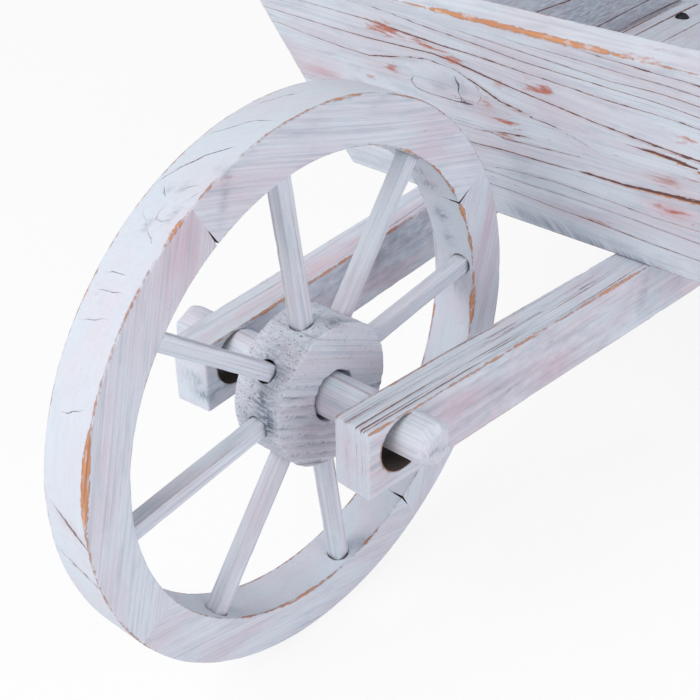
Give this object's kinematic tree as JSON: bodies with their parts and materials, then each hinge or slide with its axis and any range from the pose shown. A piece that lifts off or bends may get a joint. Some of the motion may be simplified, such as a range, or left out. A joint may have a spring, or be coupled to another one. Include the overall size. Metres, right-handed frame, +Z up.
{
  "type": "decorative wheelbarrow",
  "caption": "Whitewashed wooden garden wheelbarrow planter: flared tray on splayed rails, legs at the rear and a spoked wooden wheel that turns on its axle.",
  "frame": {"origin": "middle of the bounding box on the ground, under the tray", "axes": "+X from the wheel to the handles, +Y to the left, +Z up"},
  "size_m": [0.9001, 0.3248, 0.2624],
  "materials": {
    "whitewashed_wood": "thin blue-white whitewash over softwood, worn through to raw wood at the edges",
    "bare_wood": "unpainted dowel",
    "black_screw": "black phosphated steel",
    "steel_brad": "plain wire"
  },
  "bodies": {
    "frame": {"floor_board_left": "whitewashed_wood", "floor_board_middle": "whitewashed_wood", "floor_board_right": "whitewashed_wood", "floor_screws": "black_screw", "frame_screws": "black_screw", "front_board": "whitewashed_wood", "front_crossbar": "whitewashed_wood", "leg_left": "whitewashed_wood", "leg_right": "whitewashed_wood", "leg_screws": "black_screw", "leg_stretcher": "whitewashed_wood", "rail_left": "whitewashed_wood", "rail_right": "whitewashed_wood", "rear_board": "whitewashed_wood", "rear_crossbar": "whitewashed_wood", "side_board_left": "whitewashed_wood", "side_board_right": "whitewashed_wood", "tray_brads": "steel_brad"},
    "wheel": {"axle": "whitewashed_wood", "felloe_1": "whitewashed_wood", "felloe_2": "whitewashed_wood", "felloe_3": "whitewashed_wood", "felloe_4": "whitewashed_wood", "felloe_dowels": "bare_wood", "hub": "whitewashed_wood", "spoke_1": "whitewashed_wood", "spoke_2": "whitewashed_wood", "spoke_3": "whitewashed_wood", "spoke_4": "whitewashed_wood", "spoke_5": "whitewashed_wood", "spoke_6": "whitewashed_wood", "spoke_7": "whitewashed_wood", "spoke_8": "whitewashed_wood"}
  },
  "joints": [
    {"name": "wheel_spin", "type": "hinge", "parent": "frame", "child": "wheel", "pos_m": [-0.32006, 0, 0.13], "axis": [0, 1, 0], "continuous": true}
  ]
}
